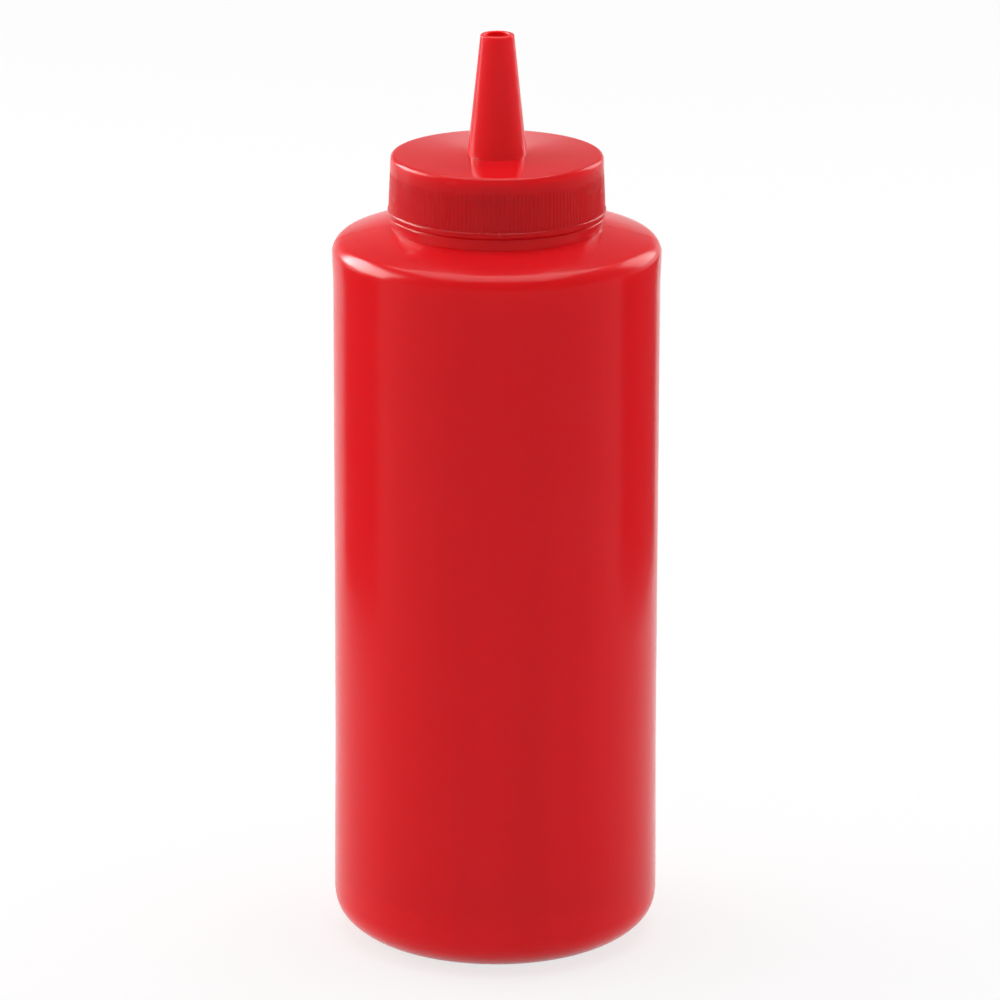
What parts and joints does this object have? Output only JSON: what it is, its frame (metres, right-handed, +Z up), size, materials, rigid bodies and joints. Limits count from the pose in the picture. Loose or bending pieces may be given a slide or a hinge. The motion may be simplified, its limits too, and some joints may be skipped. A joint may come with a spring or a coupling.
{
  "type": "squeeze bottle",
  "caption": "Red plastic sauce squeeze bottle with a straight round body, a finely ribbed screw cap and a cone nozzle open at its tip.",
  "frame": {"origin": "centre of the ring foot that the bottle stands on", "axes": "+Z up along the bottle's axis, towards the nozzle; the shape is the same all round"},
  "size_m": [0.06, 0.06, 0.1703],
  "materials": {
    "bottle_plastic": "glossy blow-moulded red polyethylene",
    "cap_plastic": "satin to glossy injection-moulded red polyethylene"
  },
  "bodies": {
    "root": {"bottle": "bottle_plastic", "cap": "cap_plastic"}
  },
  "joints": []
}
